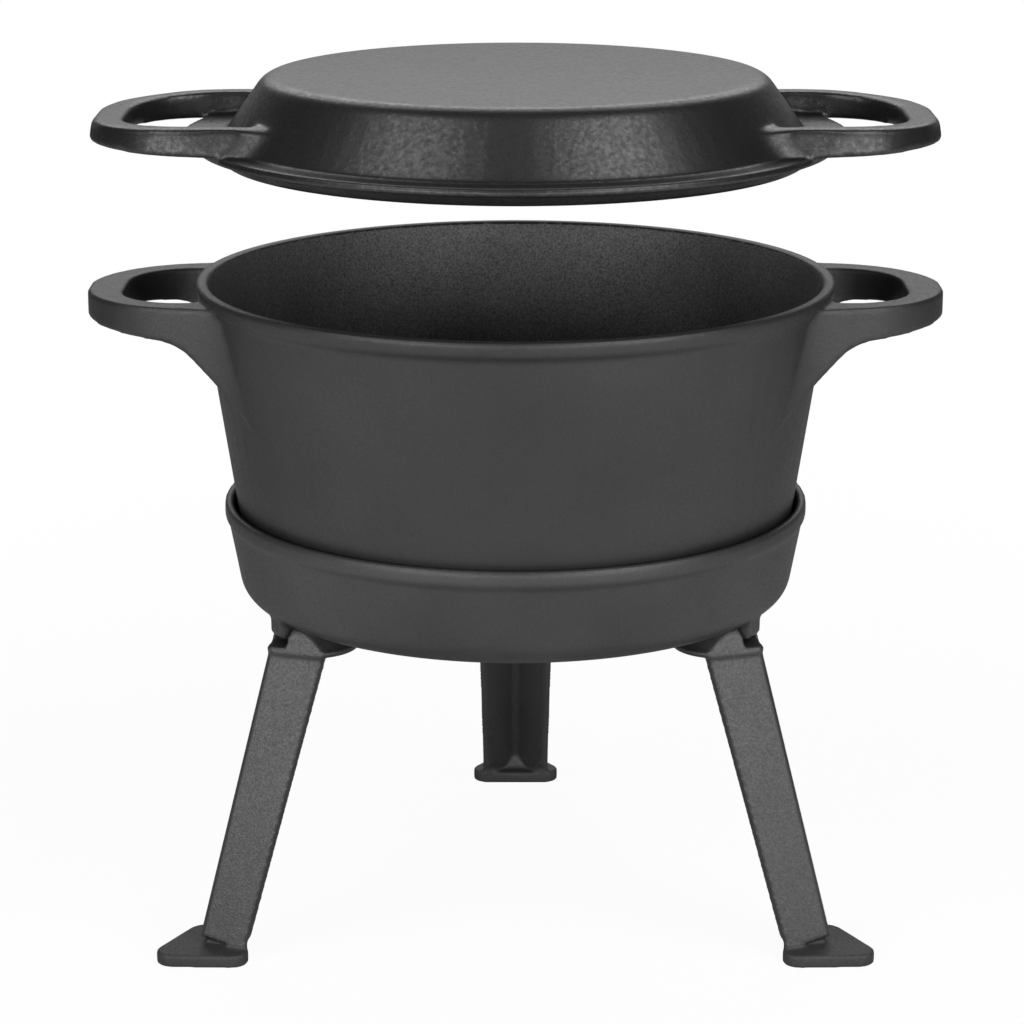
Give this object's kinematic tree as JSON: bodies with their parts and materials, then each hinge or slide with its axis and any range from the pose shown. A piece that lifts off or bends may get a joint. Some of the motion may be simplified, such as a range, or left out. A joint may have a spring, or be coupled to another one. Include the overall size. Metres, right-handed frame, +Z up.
{
  "type": "camp dutch oven",
  "caption": "Cast-iron camp dutch oven: a deep two-handled pot and its skillet lid over a shallow dish stand on splayed bolted legs.",
  "frame": {"origin": "on the pot's upright axis, at the ground that the feet stand on", "axes": "+Z up along the pot axis, X along the line of the loop handles, +Y towards the back leg"},
  "size_m": [0.347, 0.296, 0.3487],
  "materials": {
    "lid_iron": "matte black, fine orange-peel skin",
    "pot_iron": "matte black, fine sand-cast skin",
    "stand_iron": "matte black, fine sand-cast skin",
    "leg_iron": "matte black, fine sand-cast skin",
    "plated_steel": "zinc-plated, satin"
  },
  "bodies": {
    "stand": {"stand_dish": "stand_iron", "leg_back": "leg_iron", "leg_left": "leg_iron", "leg_right": "leg_iron", "screw_back": "plated_steel", "screw_left": "plated_steel", "screw_right": "plated_steel", "washer_back": "plated_steel", "washer_left": "plated_steel", "washer_right": "plated_steel", "nut_back": "plated_steel", "nut_left": "plated_steel", "nut_right": "plated_steel"},
    "pot": {"pot": "pot_iron"},
    "lid": {"lid": "lid_iron"}
  },
  "joints": [
    {"name": "pot_lift", "type": "slide", "parent": "stand", "child": "pot", "axis": [0, 0, 1], "range_m": [0, 0.15]},
    {"name": "lid_lift", "type": "slide", "parent": "pot", "child": "lid", "axis": [0, 0, 1], "range_m": [-0.0539, 0.1]}
  ]
}
